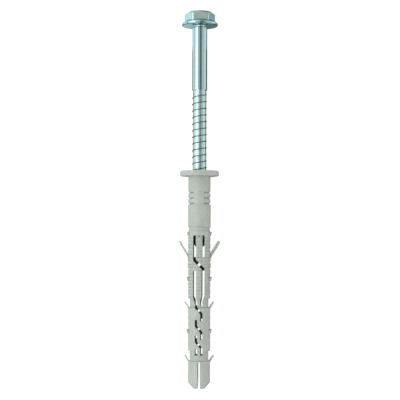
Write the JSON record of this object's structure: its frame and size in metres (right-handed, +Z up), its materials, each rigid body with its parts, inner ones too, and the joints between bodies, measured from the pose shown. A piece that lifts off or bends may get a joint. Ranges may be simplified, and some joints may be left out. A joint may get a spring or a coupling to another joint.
{
  "type": "frame fixing",
  "caption": "Long slotted expansion plug with collar, barbs and swept fins, with a coarse-threaded flanged hex screw standing part-way out, as pushed through a frame before driving.",
  "frame": {"origin": "centre of the footprint, on the support: under the middle of the overall length, with the fixing lying on its collar", "axes": "X runs along the fixing's axis from the nose to the screw head, Y is across, Z is up and square to the front of the slots; the axis lies 9.15 mm above the origin"},
  "size_m": [0.1772, 0.0196, 0.0183],
  "materials": {
    "moulded_nylon": "moulded polyamide, light grey with a slight green tint, matte with a faint mottle",
    "zinc_plated_steel": "bright blue-passivated zinc plating on rolled and pressed steel"
  },
  "bodies": {
    "plug": {"plug": "moulded_nylon"},
    "screw": {"screw": "zinc_plated_steel"}
  },
  "joints": [
    {"name": "screw_drive", "type": "slide", "parent": "plug", "child": "screw", "axis": [-1, 0, 0], "range_m": [0, 0.0682], "deforming": ["plug"]}
  ]
}
